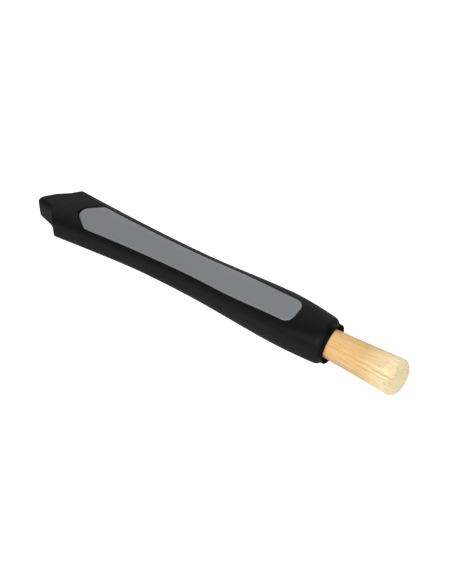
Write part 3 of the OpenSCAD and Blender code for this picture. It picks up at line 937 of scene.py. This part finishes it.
class PEN_OT_cleaning_tip(bpy.types.Operator):
    """Build the foam, the chamois face of the cleaning tip and the foam in the cap"""

    bl_idname = "pen.cleaning_tip"
    bl_label = "Cleaning tip"

    def execute(self, context):
        plan = [(-60.75, 5.6), (-62.9, 6.15), (-69.5, -1.4), (-68.95, -1.95), (-64.4, -3.55),
                (-61.8, -6.1), (-60.75, -6.1)]
        loop = even_loop(rounded_loop(plan, 0.3, 6), 150)
        centre = np.array([-63.4, 0.4])

        def flat(z):
            return lambda x, y: np.full(len(x), z)

        def crowned(z, rise):
            """Height z plus a low dome that dies out 6 mm from the centre."""
            return lambda x, y: z + rise * np.exp(
                -((x - centre[0]) ** 2 + (y - centre[1]) ** 2) / 18.0)

        points, faces = pad_from_outline(loop, centre, flat(3.36), flat(4.84), 0.22)
        pad = finish_mesh("tip_pad", points, faces, "handle", foam(), cad=["tip_foam"])
        points, faces = pad_from_outline(loop, centre, flat(3.02), flat(3.37), 0.12)
        face = finish_mesh("tip_face", points, faces, "handle", chamois(),
                           cad=["tip_chamois"])
        cap = [(-61.1, 7.2), (-63.2, 7.2), (-71.0, -1.7), (-64.9, -3.5), (-61.9, -6.6),
               (-61.1, -6.6)]
        loop = even_loop(rounded_loop(cap, 0.3, 6), 150)
        points, faces = pad_from_outline(loop, centre, flat(1.53), crowned(2.5, 0.1), 0.25)
        rest = finish_mesh("cap_pad", points, faces, "cap", foam(), cad=["cap_foam"])
        return {"FINISHED"}


class PEN_OT_slider(bpy.types.Operator):
    """Build the ribbed thumb slider under the handle"""

    bl_idname = "pen.slider"
    bl_label = "Thumb slider"

    def execute(self, context):
        plan = [(18.0, -3.9), (30.0, -3.9), (30.0, 3.9), (18.0, 3.9)]
        loop = even_loop(rounded_loop(plan, 1.1, 8), 220)

        def ribs(x, y):
            """Half waves along the slider between its two plain ends."""
            inside = ease((x - 18.9) / 0.6) * ease((29.1 - x) / 0.6) * ease((3.3 - np.abs(y)) / 0.4)
            return 0.4 + 0.32 * inside * (0.5 - 0.5 * np.cos((x - 19.2) * 2.0 * math.pi / 1.2))

        points, faces = pad_from_outline(
            loop, np.array([24.0, 0.0]), ribs, lambda x, y: np.full(len(x), 1.37), 0.2, rings=60)
        finish_mesh("slider_pad", points, faces, "brush", slider_black(),
                    cad=["thumb_slider"])
        return {"FINISHED"}


class PEN_OT_finishes(bpy.types.Operator):
    """Give the inner pieces that keep their CAD shape their finishes"""

    bl_idname = "pen.finishes"
    bl_label = "Inner finishes"

    def execute(self, context):
        dress(["access_cover", "brush_carriage", "end_plug", "tip_stem", "tip_plate", "cap_liner"],
              inner_plastic())
        dress(["cover_screws", "ferrule_pins", "detent_spring", "slider_screw", "plug_pin"],
              steel())
        dress(["spigot_band"], rubber_black())
        dress(["tuft_plug"], resin())
        return {"FINISHED"}


class PEN_OT_stage(bpy.types.Operator):
    """Set the pale floor, the soft lights and the camera"""

    bl_idname = "pen.stage"
    bl_label = "Stage"

    def execute(self, context):
        mesh = bpy.data.meshes.new("floor")
        mesh.from_pydata([(-4, -4, 0), (4, -4, 0), (4, 4, 0), (-4, 4, 0)], [], [[0, 1, 2, 3]])
        floor = bpy.data.objects.new("floor", mesh)
        context.scene.collection.objects.link(floor)
        mesh.materials.append(self.white())
        world = context.scene.world or bpy.data.worlds.new("World")
        context.scene.world = world
        world.use_nodes = True
        self.sky(world.node_tree)
        for light in LIGHTS:
            self.softbox(context, *light)
        context.scene.view_settings.view_transform = "Standard"
        self.camera(context)
        return {"FINISHED"}

    def white(self):
        """A white floor that looks evenly lit: the camera sees it with light of its own added."""
        material, tree, shader = new_material("Floor white")
        set_inputs(shader, {"Base Color": (0.75, 0.75, 0.75, 1.0), "Roughness": 0.9,
                            "Specular IOR Level": 0.1})
        path = add_node(tree, "LightPath")
        glow = add_node(tree, "Emission")
        both = add_node(tree, "AddShader")
        strength = add_node(tree, "Math", {1: CAMERA_GLOW}, operation="MULTIPLY")
        join(
            tree, (path, "Is Camera Ray", strength, 0), (strength, 0, glow, "Strength"),
            (shader, "BSDF", both, 0), (glow, "Emission", both, 1),
            (both, 0, tree.nodes["Material Output"], "Surface"))
        return material

    def sky(self, tree):
        """A white backdrop that is brightest near the horizon and dim overhead; the camera sees it
        with the floor's extra light."""
        background = tree.nodes["Background"]
        set_inputs(background, {"Color": (1.0, 1.0, 1.0, 1.0)})
        where = add_node(tree, "TexCoord")
        parts = add_node(tree, "SeparateXYZ")
        ramp = add_node(tree, "MapRange", {"From Min": 0.15, "From Max": 0.6,
                                           "To Min": 1.0, "To Max": 0.07})
        path = add_node(tree, "LightPath")
        seen = add_node(tree, "Math", {1: CAMERA_GLOW}, operation="MULTIPLY")
        total = add_node(tree, "Math", operation="ADD")
        join(
            tree, (where, "Generated", parts, "Vector"), (parts, "Z", ramp, "Value"),
            (path, "Is Camera Ray", seen, 0), (ramp, "Result", total, 0), (seen, 0, total, 1),
            (total, 0, background, "Strength"))

    def softbox(self, context, name, place, size, power):
        """A square light of the size given, turned to the pen's middle."""
        light = bpy.data.lights.new(name, "AREA")
        light.size, light.energy = size, power
        obj = bpy.data.objects.new(name, light)
        obj.location = place
        obj.rotation_mode = "QUATERNION"
        obj.rotation_quaternion = (-Vector(place)).to_track_quat("-Z", "Y")
        context.scene.collection.objects.link(obj)

    def camera(self, context):
        """A long lens from the near right, looking down on the pen."""
        turn, rise = math.radians(CAMERA_TURN), math.radians(CAMERA_RISE)
        right = Vector((math.cos(turn), math.sin(turn), 0.0))
        back = Vector((math.sin(turn) * math.cos(rise), -math.cos(turn) * math.cos(rise),
                       math.sin(rise)))
        up = back.cross(right)
        data = bpy.data.cameras.new("camera")
        data.sensor_width, data.lens = SENSOR, LENS
        obj = bpy.data.objects.new("camera", data)
        place = (Vector(CAMERA_POINT) + CAMERA_RIGHT * right - CAMERA_DOWN * up
                 + CAMERA_BACK * back) * MM
        turned = Matrix((right, up, back)).transposed().to_4x4()
        obj.matrix_world = Matrix.Translation(place) @ turned
        data.clip_start, data.clip_end = 0.01, 20.0
        context.scene.collection.objects.link(obj)
        context.scene.camera = obj


class PEN_PT_panel(bpy.types.Panel):
    """The pen's pieces, each with its button"""

    bl_idname = "PEN_PT_panel"
    bl_label = "Lens Cleaning Pen"
    bl_space_type = "VIEW_3D"
    bl_region_type = "UI"
    bl_category = "Pen"

    def draw(self, context):
        layout = self.layout
        for group in (context.scene.pen_handle, context.scene.pen_brush):
            for name in group.__annotations__:
                layout.prop(group, name)
        for step in STEPS:
            layout.operator(step.bl_idname)


STEPS = (PEN_OT_stage, PEN_OT_handle, PEN_OT_inlay, PEN_OT_cap, PEN_OT_nose, PEN_OT_tuft,
         PEN_OT_cleaning_tip, PEN_OT_slider, PEN_OT_finishes)
CLASSES = (PenHandleSettings, PenBrushSettings, *STEPS, PEN_PT_panel)


def register():
    """Registers the classes and hangs the settings on the scene."""
    for cls in CLASSES:
        bpy.utils.register_class(cls)
    bpy.types.Scene.pen_handle = bpy.props.PointerProperty(type=PenHandleSettings)
    bpy.types.Scene.pen_brush = bpy.props.PointerProperty(type=PenBrushSettings)


def unregister():
    """Takes the settings and the classes away again."""
    del bpy.types.Scene.pen_brush
    del bpy.types.Scene.pen_handle
    for cls in reversed(CLASSES):
        bpy.utils.unregister_class(cls)


def main():
    register()
    for step in STEPS:
        area, call = step.bl_idname.split(".")
        getattr(getattr(bpy.ops, area), call)()
    bpy.context.view_layer.update()


if __name__ == "__main__":
    main()
